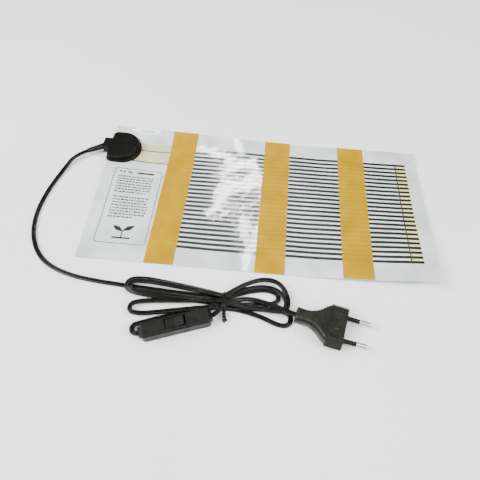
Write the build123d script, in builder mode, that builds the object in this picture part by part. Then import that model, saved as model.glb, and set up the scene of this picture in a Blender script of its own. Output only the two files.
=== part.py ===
from build123d import *
from math import cos, pi, radians, sin, sqrt, tan
import os

os.makedirs("parts", exist_ok=True)

# Driving dimensions, in millimetres. The mat lies in XY on its support, long side along X,
# its underside at z = 0 in the flat middle, and the junction box near the corner at -X, +Y.

# Laminated mat
MAT_LENGTH = 300
MAT_WIDTH = 150
FLAT_START = -50          # the sheet lies flat from here
FLAT_END = 70             # to here, and curls up gently beyond both
LEFT_CURL_RADIUS = 900
RIGHT_CURL_RADIUS = 620
BACKING_THICKNESS = 0.35
PRINT_THICKNESS = 0.10
COVER_FILM_THICKNESS = 0.30
TAPE_THICKNESS = 0.20
LINER_THICKNESS = 0.15
TAPE_WIDTH = 25
TAPE_CENTRES = {"left": -79, "centre": 14, "right": 86}
SEAL_MARGIN = 6

# Printed heater
TRACE_COUNT = 24
TRACE_WIDTH = 2.0
TRACE_PITCH = 4.92
TRACE_START = -72
TRACE_END = 130
BUS_WIDTH = 9.5
LEAD_STRIP_WIDTH = 8
LEAD_STRIP_START = -136
LEAD_STRIP_CENTRES = {"live": 54.5, "neutral": 40.5}

# Junction box, a D-shaped moulding in two shells
BOX_CENTRE = (-139.5, 48.5)
BOX_RADIUS = 19
BOX_BACK = -152
BOX_CORNER_RADIUS = 6
BOX_TOP = 11
BOX_RIM_TOP = 7.4
BOX_RIM_STEP = 1.3
BOX_WALL = 2
NECK_END = -157.5
NECK_CENTRE_Y = 50.5
NECK_WIDTH = 12
NECK_BOTTOM = 3.4
NECK_TOP = 10.4
BOX_SCREW_PLACES = [(-142.5, 37), (-142.5, 60)]
BOX_SCREW_RADIUS = 1.1
BOX_BOSS_RADIUS = 2.4

# Cord: flat twin flex, drawn as a round tube of the same section area
CORD_RADIUS = 1.9
BOOT_LENGTH = 20.4
BOOT_ROOT = (-154, 50.2, 7)
BOOT_YAW = 205
BOOT_PITCH = -4.5

# Inline rocker switch
SWITCH_CENTRE = (-54.2, -127.2)
SWITCH_YAW = 20
SWITCH_LENGTH = 53
SWITCH_WIDTH = 13
SWITCH_HEIGHT = 10.4
SWITCH_SPLIT = 5.2
SWITCH_WALL = 1.3
SWITCH_CORNER = 3
NOZZLE_LENGTH = 1.5
CORD_ENTRY_HEIGHT = 4.8
ROCKER_LENGTH = 14.2
ROCKER_WIDTH = 7.4
ROCKER_PIVOT_HEIGHT = 7.4
ROCKER_TILT = 7
ROCKER_GAP = 0.95
PIVOT_PIN_RADIUS = 0.8
RUNNING_CLEARANCE = 0.05
CONTACT_TILT = 5
CONTACT_PIVOT_HEIGHT = 3.8
CONTACT_LENGTH = 13
CONTACT_WIDTH = 3.6
CONTACT_THICKNESS = 0.6
WIRE_RADIUS = 0.8

# Two-pole plug, to the flat 2.5 A standard
PIN_FACE_CENTRE = (72.1, -119.1, 6.85)
PLUG_YAW = -12.3
PLUG_FACE_WIDTH = 35.3
PLUG_FLAT_WIDTH = 26.1
PLUG_FACE_HEIGHT = 13.7
PLUG_BLOCK_LENGTH = 12.5
PLUG_LENGTH = 37.5
PIN_SPACING = 18.6
PIN_RADIUS = 2.0
PIN_LENGTH = 19
PIN_TOE_IN = 1.66
SLEEVE_LENGTH = 10
SLEEVE_RADIUS = 1.8
PIN_CORE_RADIUS = 1.5

# Tied hank of cord
HANK_HEIGHT = 8.2
TIE_CENTRE = (-20, -104.8)
TIE_WIDTH = 2.6
TIE_SPAN = 14.6
TIE_THICKNESS = 0.8

PRINT_TOP = BACKING_THICKNESS + PRINT_THICKNESS
MAT_THICKNESS = PRINT_TOP + COVER_FILM_THICKNESS


def finish(piece, name):
    """Label a finished piece and write it under its own name."""
    piece.part.label = name
    export_step(piece.part, f"parts/{name}.step")


# ---------------------------------------------------------------- the curled sheet

def sheet_height(x, h):
    """Height at x of the surface that lies h above the mat's underside."""
    if x < FLAT_START:
        radius, run = LEFT_CURL_RADIUS, FLAT_START - x
    elif x > FLAT_END:
        radius, run = RIGHT_CURL_RADIUS, x - FLAT_END
    else:
        return h
    return radius - sqrt((radius - h) ** 2 - run**2)


def sheet_edge(x_from, x_to, h):
    """Draw the surface h above the underside: curl, flat middle, curl."""
    stops = [x for x in (FLAT_START, FLAT_END) if min(x_from, x_to) < x < max(x_from, x_to)]
    stops = [x_from] + sorted(stops, reverse=x_to < x_from) + [x_to]
    for start, end in zip(stops, stops[1:]):
        middle = (start + end) / 2
        ends = [(start, sheet_height(start, h)), (end, sheet_height(end, h))]
        if FLAT_START <= middle <= FLAT_END:
            Line(*ends)
        else:
            ThreePointArc(ends[0], (middle, sheet_height(middle, h)), ends[1])


def sheet_slab(x_range, y_range, low, high, mode=Mode.ADD):
    """Add a piece of sheet between two heights above the underside, with true curl."""
    left, right = x_range
    with BuildSketch(Plane.XZ.offset(-y_range[1])) as profile:
        with BuildLine():
            sheet_edge(left, right, low)
            Line((right, sheet_height(right, low)), (right, sheet_height(right, high)))
            sheet_edge(right, left, high)
            Line((left, sheet_height(left, high)), (left, sheet_height(left, low)))
        make_face()
    extrude(profile.sketch, amount=y_range[1] - y_range[0], mode=mode)


HALF_LENGTH = MAT_LENGTH / 2
HALF_WIDTH = MAT_WIDTH / 2
FULL_X = (-HALF_LENGTH, HALF_LENGTH)
FULL_Y = (-HALF_WIDTH, HALF_WIDTH)
BELOW_ALL = -20
ABOVE_ALL = 20
BOX_SCREW_HOLE_RADIUS = BOX_SCREW_RADIUS + 0.2
CRIMP_X = (-135, -129.5)
CRIMP_WIDTH = 5


def box_screw_holes(radius, height=ABOVE_ALL):
    """Cut the two upright screw holes of the junction box."""
    with BuildSketch(Plane.XY) as holes:
        with Locations(*BOX_SCREW_PLACES):
            Circle(radius)
    extrude(holes.sketch, amount=height, mode=Mode.SUBTRACT)


# ---------------------------------------------------------------- mat layers

with BuildPart() as backing_film:
    sheet_slab(FULL_X, FULL_Y, 0, BACKING_THICKNESS)
    box_screw_holes(BOX_SCREW_HOLE_RADIUS)
finish(backing_film, "backing_film")

with BuildPart() as edge_seal:
    sheet_slab(FULL_X, FULL_Y, BACKING_THICKNESS, PRINT_TOP)
    sheet_slab(
        (-HALF_LENGTH + SEAL_MARGIN, HALF_LENGTH - SEAL_MARGIN),
        (-HALF_WIDTH + SEAL_MARGIN, HALF_WIDTH - SEAL_MARGIN),
        BACKING_THICKNESS, PRINT_TOP, mode=Mode.SUBTRACT,
    )
finish(edge_seal, "edge_seal")

with BuildPart() as top_film:
    sheet_slab(FULL_X, FULL_Y, PRINT_TOP, MAT_THICKNESS)
    box_screw_holes(BOX_SCREW_HOLE_RADIUS)
    for centre in LEAD_STRIP_CENTRES.values():
        window = (centre - CRIMP_WIDTH / 2, centre + CRIMP_WIDTH / 2)
        sheet_slab(CRIMP_X, window, PRINT_TOP, MAT_THICKNESS, mode=Mode.SUBTRACT)
finish(top_film, "top_film")

# Printed carbon lines, all fed from the left bus bars and joined by the right one
trace_span = (TRACE_COUNT - 1) * TRACE_PITCH
with BuildPart() as carbon_traces:
    for index in range(TRACE_COUNT):
        y = trace_span / 2 - index * TRACE_PITCH
        line = (y - TRACE_WIDTH / 2, y + TRACE_WIDTH / 2)
        sheet_slab((TRACE_START, TRACE_END), line, BACKING_THICKNESS, PRINT_TOP)
finish(carbon_traces, "carbon_traces")

bus_reach = trace_span / 2 + TRACE_WIDTH
bus_split = (LEAD_STRIP_CENTRES["live"] + LEAD_STRIP_CENTRES["neutral"]) / 2
bus_bars = {
    "bus_bar_live": ((TRACE_START - BUS_WIDTH, TRACE_START), (bus_split + 1, bus_reach)),
    "bus_bar_neutral": ((TRACE_START - BUS_WIDTH, TRACE_START), (-bus_reach, bus_split - 1)),
    "bus_bar_far": ((TRACE_END, TRACE_END + BUS_WIDTH), (-bus_reach, bus_reach)),
}
for name, (x_range, y_range) in bus_bars.items():
    with BuildPart() as bus_bar:
        sheet_slab(x_range, y_range, BACKING_THICKNESS, PRINT_TOP)
    finish(bus_bar, name)

for pole, centre in LEAD_STRIP_CENTRES.items():
    with BuildPart() as lead_strip:
        x_range = (LEAD_STRIP_START, TRACE_START - BUS_WIDTH)
        y_range = (centre - LEAD_STRIP_WIDTH / 2, centre + LEAD_STRIP_WIDTH / 2)
        sheet_slab(x_range, y_range, BACKING_THICKNESS, PRINT_TOP)
    finish(lead_strip, f"lead_strip_{pole}")

# Double-sided tape under yellow peel-off liners
for side, centre in TAPE_CENTRES.items():
    x_range = (centre - TAPE_WIDTH / 2, centre + TAPE_WIDTH / 2)
    with BuildPart() as tape:
        sheet_slab(x_range, FULL_Y, MAT_THICKNESS, MAT_THICKNESS + TAPE_THICKNESS)
    finish(tape, f"adhesive_tape_{side}")
    with BuildPart() as liner:
        tape_top = MAT_THICKNESS + TAPE_THICKNESS
        sheet_slab(x_range, FULL_Y, tape_top, tape_top + LINER_THICKNESS)
    finish(liner, f"liner_{side}")

# ---------------------------------------------------------------- junction box

def box_outline(inset):
    """Draw the box's D outline, moved inwards by inset."""
    radius = BOX_RADIUS - inset
    corner = BOX_CORNER_RADIUS - inset
    back = BOX_BACK + inset
    x, y = BOX_CENTRE
    with BuildLine() as outline:
        Line((x, y + radius), (back + corner, y + radius))
        RadiusArc((back + corner, y + radius), (back, y + radius - corner), -corner)
        Line((back, y + radius - corner), (back, y - radius + corner))
        RadiusArc((back, y - radius + corner), (back + corner, y - radius), -corner)
        Line((back + corner, y - radius), (x, y - radius))
        ThreePointArc((x, y - radius), (x + radius, y), (x, y + radius))
    make_face(outline.edges())


CRIMP_TOP = 1.9
with BuildPart() as crimp_terminals:
    for centre in LEAD_STRIP_CENTRES.values():
        y_range = (centre - CRIMP_WIDTH / 2, centre + CRIMP_WIDTH / 2)
        sheet_slab(CRIMP_X, y_range, PRINT_TOP, CRIMP_TOP)
finish(crimp_terminals, "crimp_terminals")


def wire(points, corner_radius, radius=WIRE_RADIUS):
    """Sweep one insulated core along straight runs with rounded corners."""
    with BuildLine() as route:
        FilletPolyline(*points, radius=corner_radius)
    with BuildSketch(Plane(origin=route.wire() @ 0, z_dir=route.wire() % 0)) as section:
        Circle(radius)
    sweep(section.sketch, path=route.wire())


CORE_SPREAD = 1.3
CORE_HEIGHT = 7.35
CORE_BEND_X = (-145, -138.5)
CORE_OVERLAP = 0.5
crimp_wire_height = sheet_height(CRIMP_X[0], CRIMP_TOP) + WIRE_RADIUS
with BuildPart() as junction_cores:
    for pole, side in (("live", 1), ("neutral", -1)):
        start_y = BOOT_ROOT[1] + side * CORE_SPREAD
        end_y = LEAD_STRIP_CENTRES[pole]
        wire(
            [
                (BOOT_ROOT[0] + CORE_OVERLAP, start_y, CORE_HEIGHT),
                (CORE_BEND_X[0], start_y, CORE_HEIGHT),
                (CORE_BEND_X[1], end_y, crimp_wire_height),
                (CRIMP_X[1] - CORE_OVERLAP, end_y, crimp_wire_height),
            ],
            1.5,
        )
finish(junction_cores, "junction_cores")

boot_plane = Plane(
    origin=BOOT_ROOT,
    x_dir=(-sin(radians(BOOT_YAW)), cos(radians(BOOT_YAW)), 0),
    z_dir=(
        cos(radians(BOOT_YAW)) * cos(radians(BOOT_PITCH)),
        sin(radians(BOOT_YAW)) * cos(radians(BOOT_PITCH)),
        sin(radians(BOOT_PITCH)),
    ),
)
BOOT_COLLAR = 1.8
BOOT_COLLAR_SIZE = (8.2, 6)
BOOT_COLLAR_CORNER = 2
# Boot sections: distance from its root, width, height
BOOT_SECTIONS = [(0, 6.8, 5.2), (5, 6.4, 5), (BOOT_LENGTH, 4.4, 4.2)]

with BuildPart() as cable_boot:
    for distance, width, height in BOOT_SECTIONS:
        with BuildSketch(boot_plane.offset(distance)):
            RectangleRounded(width, height, height / 2 - 0.1)
    loft(ruled=True)
    with BuildSketch(boot_plane):
        RectangleRounded(*BOOT_COLLAR_SIZE, BOOT_COLLAR_CORNER)
    extrude(amount=BOOT_COLLAR)
    add(junction_cores.part, mode=Mode.SUBTRACT)
finish(cable_boot, "cable_boot")

NECK_SIZE = (BOX_CENTRE[0] - NECK_END, NECK_WIDTH, NECK_TOP - NECK_BOTTOM)
NECK_CENTRE = ((BOX_CENTRE[0] + NECK_END) / 2, NECK_CENTRE_Y, (NECK_TOP + NECK_BOTTOM) / 2)
ROOF_HEIGHT = BOX_TOP - BOX_WALL
NOTCH_X = (NECK_END - 5, -HALF_LENGTH)
UNDER_FILM_X = (-HALF_LENGTH, BOX_CENTRE[0] + BOX_RADIUS + 5)
BOX_Y = (BOX_CENTRE[1] - BOX_RADIUS - 5, BOX_CENTRE[1] + BOX_RADIUS + 5)
BOX_SCREW_TIP = 8
BOX_SCREW_BOTTOM = 0.4
BOX_SCREW_HEAD_TOP = 1.8
BOX_SCREW_HEAD_RADIUS = 2.1
BOX_FLOOR_CHAMFER = 0.8
BOX_RIM_CHAMFER = 0.7
BOX_DOME_FILLET = 2.2
BOX_OVERLAP = 1

with BuildPart() as junction_base:
    with BuildSketch(Plane.XY):
        box_outline(0)
    extrude(amount=BOX_TOP)
    chamfer(junction_base.edges().group_by(Axis.Z)[0], BOX_FLOOR_CHAMFER)
    with Locations(NECK_CENTRE):
        Box(*NECK_SIZE)
    sheet_slab((NOTCH_X[0], UNDER_FILM_X[1]), BOX_Y, 0, ABOVE_ALL, mode=Mode.SUBTRACT)
    box_screw_holes(BOX_SCREW_HOLE_RADIUS)
    box_screw_holes(BOX_SCREW_HEAD_RADIUS, BOX_SCREW_HEAD_TOP)
    add(cable_boot.part, mode=Mode.SUBTRACT)
finish(junction_base, "junction_base")

with BuildPart() as junction_cover:
    with BuildSketch(Plane.XY):
        box_outline(0)
    extrude(amount=BOX_RIM_TOP)
    chamfer(junction_cover.edges().group_by(Axis.Z)[-1], BOX_RIM_CHAMFER)
    with BuildSketch(Plane.XY.offset(BOX_RIM_TOP - BOX_OVERLAP)):
        box_outline(BOX_RIM_STEP)
    extrude(amount=BOX_TOP - BOX_RIM_TOP + BOX_OVERLAP)
    fillet(junction_cover.edges().group_by(Axis.Z)[-1], BOX_DOME_FILLET)
    with Locations(NECK_CENTRE):
        Box(*NECK_SIZE)
    with BuildSketch(Plane.XY):
        box_outline(BOX_WALL + BOX_RIM_STEP)
    extrude(amount=ROOF_HEIGHT, mode=Mode.SUBTRACT)
    with BuildSketch(Plane.XY):
        with Locations(*BOX_SCREW_PLACES):
            Circle(BOX_BOSS_RADIUS)
    extrude(amount=ROOF_HEIGHT)
    box_screw_holes(BOX_SCREW_RADIUS, BOX_SCREW_TIP)
    sheet_slab(UNDER_FILM_X, BOX_Y, BELOW_ALL, MAT_THICKNESS, mode=Mode.SUBTRACT)
    sheet_slab(NOTCH_X, BOX_Y, BELOW_ALL, 0, mode=Mode.SUBTRACT)
    for passing in (cable_boot, junction_cores):
        add(passing.part, mode=Mode.SUBTRACT)
finish(junction_cover, "junction_cover")

with BuildPart() as junction_screws:
    for radius, top in ((BOX_SCREW_HEAD_RADIUS, BOX_SCREW_HEAD_TOP), (BOX_SCREW_RADIUS, BOX_SCREW_TIP)):
        with BuildSketch(Plane.XY.offset(BOX_SCREW_BOTTOM)):
            with Locations(*BOX_SCREW_PLACES):
                Circle(radius)
        extrude(amount=top - BOX_SCREW_BOTTOM)
finish(junction_screws, "junction_screws")

with BuildPart() as junction_potting:
    with BuildSketch(Plane.XY):
        box_outline(BOX_WALL + BOX_RIM_STEP)
    extrude(amount=ROOF_HEIGHT)
    with BuildSketch(Plane.XY):
        with Locations(*BOX_SCREW_PLACES):
            Circle(BOX_BOSS_RADIUS)
    extrude(amount=ROOF_HEIGHT, mode=Mode.SUBTRACT)
    sheet_slab(UNDER_FILM_X, BOX_Y, BELOW_ALL, MAT_THICKNESS, mode=Mode.SUBTRACT)
    for buried in (cable_boot, crimp_terminals, junction_cores):
        add(buried.part, mode=Mode.SUBTRACT)
finish(junction_potting, "junction_potting")

# ---------------------------------------------------------------- inline switch

switch_x = (cos(radians(SWITCH_YAW)), sin(radians(SWITCH_YAW)), 0)
switch_plane = Plane(origin=(*SWITCH_CENTRE, 0), x_dir=switch_x, z_dir=(0, 0, 1))
switch_end = SWITCH_LENGTH / 2
nozzle_end = switch_end + NOZZLE_LENGTH
inner_width = SWITCH_WIDTH - 2 * SWITCH_WALL
roof = SWITCH_HEIGHT - SWITCH_WALL
FLOOR = 1.2
END_PLANES = [
    Plane(
        origin=switch_plane.from_local_coords((side * nozzle_end, 0, CORD_ENTRY_HEIGHT)),
        x_dir=(side * switch_x[1], -side * switch_x[0], 0),
        z_dir=(-side * switch_x[0], -side * switch_x[1], 0),
    )
    for side in (-1, 1)
]
NOZZLE_WIDTH = 7
NOZZLE_HEIGHT = 5.6
CORD_END_DEPTH = 8
CLAMP_PLACE = 22
CLAMP_LENGTH = 3
CLAMP_SPAN = 9
CLAMP_SCREW_PLACE = 3.3
CLAMP_SCREW_RADIUS = 0.7
SCREW_PLACES = [(-9.9, 3.7), (9.9, 3.7)]
SCREW_RADIUS = 0.8
SCREW_HEAD_RADIUS = 1.5
SCREW_HEAD_TOP = 0.9
SCREW_TIP = 8.2
BOSS_RADIUS = 1.7
BASE_FILLET = 1
COVER_FILLET = 1.8
CLAMP_PLACES = [(-CLAMP_PLACE, 0), (CLAMP_PLACE, 0)]
CLAMP_SCREW_PLACES = [
    (along, across)
    for along in (-CLAMP_PLACE, CLAMP_PLACE)
    for across in (-CLAMP_SCREW_PLACE, CLAMP_SCREW_PLACE)
]


def switch_round(places, radius, low, high, mode=Mode.ADD):
    """Add or cut upright round features at places in the switch."""
    with BuildSketch(switch_plane.offset(low)) as rounds:
        with Locations(*places):
            Circle(radius)
    extrude(rounds.sketch, amount=high - low, mode=mode)


def switch_block(size, centre, low, high, mode=Mode.ADD):
    """Add or cut an upright block in the switch."""
    with BuildSketch(switch_plane.offset(low)) as block:
        with Locations(centre):
            Rectangle(*size)
    extrude(block.sketch, amount=high - low, mode=mode)


def switch_nozzles(low, high):
    """Add the part of both cord nozzles that lies between two heights."""
    for plane in END_PLANES:
        with BuildSketch(plane) as nozzle:
            with Locations((0, (low + high) / 2 - CORD_ENTRY_HEIGHT)):
                Rectangle(NOZZLE_WIDTH, high - low)
        extrude(nozzle.sketch, amount=NOZZLE_LENGTH + SWITCH_WALL)


def cord_holes(depth, mode=Mode.SUBTRACT):
    """Cut the holes that the cord passes through, or add the cord ends in them."""
    for plane in END_PLANES:
        with BuildSketch(plane) as hole:
            Circle(CORD_RADIUS)
        extrude(hole.sketch, amount=depth, mode=mode)


with BuildPart() as switch_base:
    with BuildSketch(switch_plane):
        RectangleRounded(SWITCH_LENGTH, SWITCH_WIDTH, SWITCH_CORNER)
    extrude(amount=SWITCH_SPLIT)
    fillet(switch_base.edges().group_by(Axis.Z)[0], BASE_FILLET)
    with BuildSketch(switch_plane.offset(FLOOR)):
        RectangleRounded(SWITCH_LENGTH - 2 * SWITCH_WALL, inner_width, SWITCH_CORNER - SWITCH_WALL)
    extrude(amount=SWITCH_SPLIT, mode=Mode.SUBTRACT)
    switch_nozzles(CORD_ENTRY_HEIGHT - NOZZLE_HEIGHT / 2, SWITCH_SPLIT)
    for place in CLAMP_PLACES:
        switch_block((CLAMP_LENGTH, CLAMP_SPAN), place, FLOOR, CORD_ENTRY_HEIGHT - CORD_RADIUS)
    switch_round(CLAMP_SCREW_PLACES, CLAMP_SCREW_RADIUS, FLOOR, SWITCH_SPLIT, Mode.SUBTRACT)
    switch_round(SCREW_PLACES, BOSS_RADIUS, FLOOR, SWITCH_SPLIT)
    switch_round(SCREW_PLACES, SCREW_RADIUS, 0, SWITCH_SPLIT, Mode.SUBTRACT)
    switch_round(SCREW_PLACES, SCREW_HEAD_RADIUS, 0, SCREW_HEAD_TOP, Mode.SUBTRACT)
    cord_holes(CORD_END_DEPTH)
finish(switch_base, "switch_base")

pivot_plane = Plane(
    origin=switch_plane.from_local_coords((0, 0, ROCKER_PIVOT_HEIGHT)),
    x_dir=switch_x,
    z_dir=(switch_x[1], -switch_x[0], 0),
)
PIN_HALF_LENGTH = SWITCH_WIDTH / 2 - 0.8
WINDOW_SIZE = (ROCKER_LENGTH + 2 * ROCKER_GAP, ROCKER_WIDTH + 0.7)
DISH_SIZE = (ROCKER_LENGTH + 5, ROCKER_WIDTH + 2)
DISH_DEPTH = 0.35

with BuildPart() as switch_cover:
    with BuildSketch(switch_plane.offset(SWITCH_SPLIT)):
        RectangleRounded(SWITCH_LENGTH, SWITCH_WIDTH, SWITCH_CORNER)
    extrude(amount=SWITCH_HEIGHT - SWITCH_SPLIT)
    fillet(switch_cover.edges().group_by(Axis.Z)[-1], COVER_FILLET)
    switch_block(DISH_SIZE, (0, 0), SWITCH_HEIGHT - DISH_DEPTH, SWITCH_HEIGHT, Mode.SUBTRACT)
    with BuildSketch(switch_plane.offset(SWITCH_SPLIT)):
        RectangleRounded(SWITCH_LENGTH - 2 * SWITCH_WALL, inner_width, SWITCH_CORNER - SWITCH_WALL)
    extrude(amount=roof - SWITCH_SPLIT, mode=Mode.SUBTRACT)
    switch_block(WINDOW_SIZE, (0, 0), SWITCH_SPLIT, SWITCH_HEIGHT, Mode.SUBTRACT)
    switch_nozzles(SWITCH_SPLIT, CORD_ENTRY_HEIGHT + NOZZLE_HEIGHT / 2)
    switch_round(SCREW_PLACES, BOSS_RADIUS, SWITCH_SPLIT, roof)
    switch_round(SCREW_PLACES, SCREW_RADIUS, SWITCH_SPLIT, SCREW_TIP, Mode.SUBTRACT)
    cord_holes(CORD_END_DEPTH)
    with BuildSketch(pivot_plane):
        Circle(PIVOT_PIN_RADIUS)
    extrude(amount=PIN_HALF_LENGTH, both=True, mode=Mode.SUBTRACT)
finish(switch_cover, "switch_cover")

with BuildPart() as rocker_pin:
    with BuildSketch(pivot_plane):
        Circle(PIVOT_PIN_RADIUS)
    extrude(amount=PIN_HALF_LENGTH, both=True)
finish(rocker_pin, "rocker_pin")


def tilted_plane(height, tilt):
    """Give the upright plane across the switch's middle, turned right end up by tilt degrees."""
    turn = radians(tilt)
    return Plane(
        origin=switch_plane.from_local_coords((0, 0, height)),
        x_dir=(switch_x[0] * cos(turn), switch_x[1] * cos(turn), sin(turn)),
        z_dir=pivot_plane.z_dir,
    )


# The rocker rests with its left end pressed
rocker_plane = tilted_plane(ROCKER_PIVOT_HEIGHT, ROCKER_TILT)
ROCKER_END_HEIGHT = 3.2
ROCKER_VALLEY_HEIGHT = 2.3
ROCKER_SKIRT = -1.2
ROCKER_NIB = -2.6
NIB_ROOT = 1.4
NIB_TIP = 0.5
ROCKER_END_FILLET = 0.6
half_rocker = ROCKER_LENGTH / 2
with BuildPart() as rocker:
    with BuildSketch(rocker_plane):
        with BuildLine():
            Polyline(
                (-half_rocker, ROCKER_SKIRT), (-half_rocker, ROCKER_END_HEIGHT), (0, ROCKER_VALLEY_HEIGHT),
                (half_rocker, ROCKER_END_HEIGHT), (half_rocker, ROCKER_SKIRT), (NIB_ROOT, ROCKER_SKIRT),
                (NIB_TIP, ROCKER_NIB), (-NIB_TIP, ROCKER_NIB), (-NIB_ROOT, ROCKER_SKIRT), close=True,
            )
        make_face()
        Circle(PIVOT_PIN_RADIUS + RUNNING_CLEARANCE, mode=Mode.SUBTRACT)
    extrude(amount=ROCKER_WIDTH / 2, both=True)
    pivot_axis = Axis(pivot_plane.origin, pivot_plane.z_dir)
    fillet(rocker.edges().filter_by(pivot_axis).sort_by_distance(pivot_plane.origin)[-2:], ROCKER_END_FILLET)
finish(rocker, "rocker")

# A see-saw contact bar rocks on the centre terminal's knife edge, against the rocker
with BuildPart() as contact_bar:
    with BuildSketch(tilted_plane(CONTACT_PIVOT_HEIGHT, -CONTACT_TILT)):
        Rectangle(CONTACT_LENGTH, CONTACT_THICKNESS, align=(Align.CENTER, Align.MIN))
    extrude(amount=CONTACT_WIDTH / 2, both=True)
finish(contact_bar, "contact_bar")

TERMINAL_START = 11.7
TERMINAL_LENGTH = 5
TERMINAL_SIZE = (TERMINAL_LENGTH, 5.2)
TERMINAL_TOP = 5.9
TERMINAL_OFFSET = 1.4
STRIP_TOP = 1.8
terminal_middle = TERMINAL_START + TERMINAL_LENGTH / 2
KNIFE_GAP = 0.1
KNIFE_HALF_WIDTHS = (1, 0.15)
PAD_GAP = 0.15
PAD_LENGTH = 1.6
TERMINAL_SCREW_DEPTH = 2
TERMINAL_SCREW_HEAD = 0.8
pad_place = CONTACT_LENGTH / 2 - PAD_LENGTH / 2
pad_top = CONTACT_PIVOT_HEIGHT - (CONTACT_LENGTH / 2) * sin(radians(CONTACT_TILT)) - PAD_GAP


def terminal_hole(side):
    """Cut the screw hole of the terminal at one end."""
    place = (side * terminal_middle, TERMINAL_OFFSET)
    switch_round([place], SCREW_RADIUS, TERMINAL_TOP - TERMINAL_SCREW_DEPTH, TERMINAL_TOP, Mode.SUBTRACT)


with BuildPart() as terminal_live_in:
    switch_block(TERMINAL_SIZE, (-terminal_middle, TERMINAL_OFFSET), FLOOR, TERMINAL_TOP)
    switch_block((TERMINAL_START + 1, CONTACT_WIDTH), (-(TERMINAL_START - 1) / 2, 0), FLOOR, STRIP_TOP)
    with BuildSketch(tilted_plane(0, 0)):
        with BuildLine():
            knife_top = CONTACT_PIVOT_HEIGHT - KNIFE_GAP
            root, edge = KNIFE_HALF_WIDTHS
            Polyline((-root, STRIP_TOP), (root, STRIP_TOP), (edge, knife_top), (-edge, knife_top), close=True)
        make_face()
    extrude(amount=CONTACT_WIDTH / 2, both=True)
    terminal_hole(-1)
finish(terminal_live_in, "terminal_live_in")

with BuildPart() as terminal_live_out:
    strip_length = TERMINAL_START - pad_place + PAD_LENGTH / 2
    switch_block(TERMINAL_SIZE, (terminal_middle, TERMINAL_OFFSET), FLOOR, TERMINAL_TOP)
    switch_block((strip_length, CONTACT_WIDTH), (TERMINAL_START - strip_length / 2, 0), FLOOR, STRIP_TOP)
    switch_block((PAD_LENGTH, CONTACT_WIDTH), (pad_place, 0), STRIP_TOP, pad_top)
    terminal_hole(1)
finish(terminal_live_out, "terminal_live_out")

terminal_places = [(side * terminal_middle, TERMINAL_OFFSET) for side in (-1, 1)]
with BuildPart() as terminal_screws:
    switch_round(terminal_places, SCREW_RADIUS, TERMINAL_TOP - TERMINAL_SCREW_DEPTH, TERMINAL_TOP)
    switch_round(terminal_places, SCREW_HEAD_RADIUS, TERMINAL_TOP, TERMINAL_TOP + TERMINAL_SCREW_HEAD)
finish(terminal_screws, "terminal_screws")

with BuildPart() as switch_cord_ends:
    cord_holes(CORD_END_DEPTH, Mode.ADD)
finish(switch_cord_ends, "switch_cord_ends")

cord_end_place = nozzle_end - CORD_END_DEPTH
CORE_OFFSET = 1.0
NEUTRAL_LANE = -3.9
NEUTRAL_HEIGHT = 2.6
NEUTRAL_RUNS = (1.8, 4.6)
NEUTRAL_BEND = 1.0
with BuildPart() as live_cores:
    for side in (-1, 1):
        start = TERMINAL_START + TERMINAL_LENGTH
        start_point = switch_plane.from_local_coords((side * start, CORE_OFFSET, CORD_ENTRY_HEIGHT))
        outwards = (side * switch_x[0], side * switch_x[1], 0)
        with BuildSketch(Plane(origin=start_point, x_dir=(0, 0, 1), z_dir=outwards)):
            Circle(WIRE_RADIUS)
        extrude(amount=cord_end_place - start)
finish(live_cores, "live_cores")

with BuildPart() as neutral_core:
    lane = [
        (-cord_end_place, -CORE_OFFSET, CORD_ENTRY_HEIGHT),
        (-cord_end_place + NEUTRAL_RUNS[0], -CORE_OFFSET, CORD_ENTRY_HEIGHT),
        (-cord_end_place + NEUTRAL_RUNS[1], NEUTRAL_LANE, NEUTRAL_HEIGHT),
        (cord_end_place - NEUTRAL_RUNS[1], NEUTRAL_LANE, NEUTRAL_HEIGHT),
        (cord_end_place - NEUTRAL_RUNS[0], -CORE_OFFSET, CORD_ENTRY_HEIGHT),
        (cord_end_place, -CORE_OFFSET, CORD_ENTRY_HEIGHT),
    ]
    wire([switch_plane.from_local_coords(point) for point in lane], NEUTRAL_BEND)
finish(neutral_core, "neutral_core")

clamp_bottom = CORD_ENTRY_HEIGHT + CORD_RADIUS
CLAMP_THICKNESS = 1.5
CLAMP_HEAD_RADIUS = CLAMP_SCREW_RADIUS + 0.4
SCREW_RECESS = 0.15
with BuildPart() as cord_clamps:
    for place in CLAMP_PLACES:
        switch_block((CLAMP_LENGTH, CLAMP_SPAN), place, clamp_bottom, clamp_bottom + CLAMP_THICKNESS)
    switch_round(CLAMP_SCREW_PLACES, CLAMP_SCREW_RADIUS, clamp_bottom, roof, Mode.SUBTRACT)
finish(cord_clamps, "cord_clamps")

with BuildPart() as clamp_screws:
    switch_round(CLAMP_SCREW_PLACES, CLAMP_SCREW_RADIUS, FLOOR, clamp_bottom + CLAMP_THICKNESS)
    switch_round(CLAMP_SCREW_PLACES, CLAMP_HEAD_RADIUS, clamp_bottom + CLAMP_THICKNESS, roof - 0.2)
finish(clamp_screws, "clamp_screws")

with BuildPart() as switch_screws:
    switch_round(SCREW_PLACES, SCREW_HEAD_RADIUS, SCREW_RECESS, SCREW_HEAD_TOP)
    switch_round(SCREW_PLACES, SCREW_RADIUS, SCREW_HEAD_TOP, SCREW_TIP)
finish(switch_screws, "switch_screws")

# ---------------------------------------------------------------- plug

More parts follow.
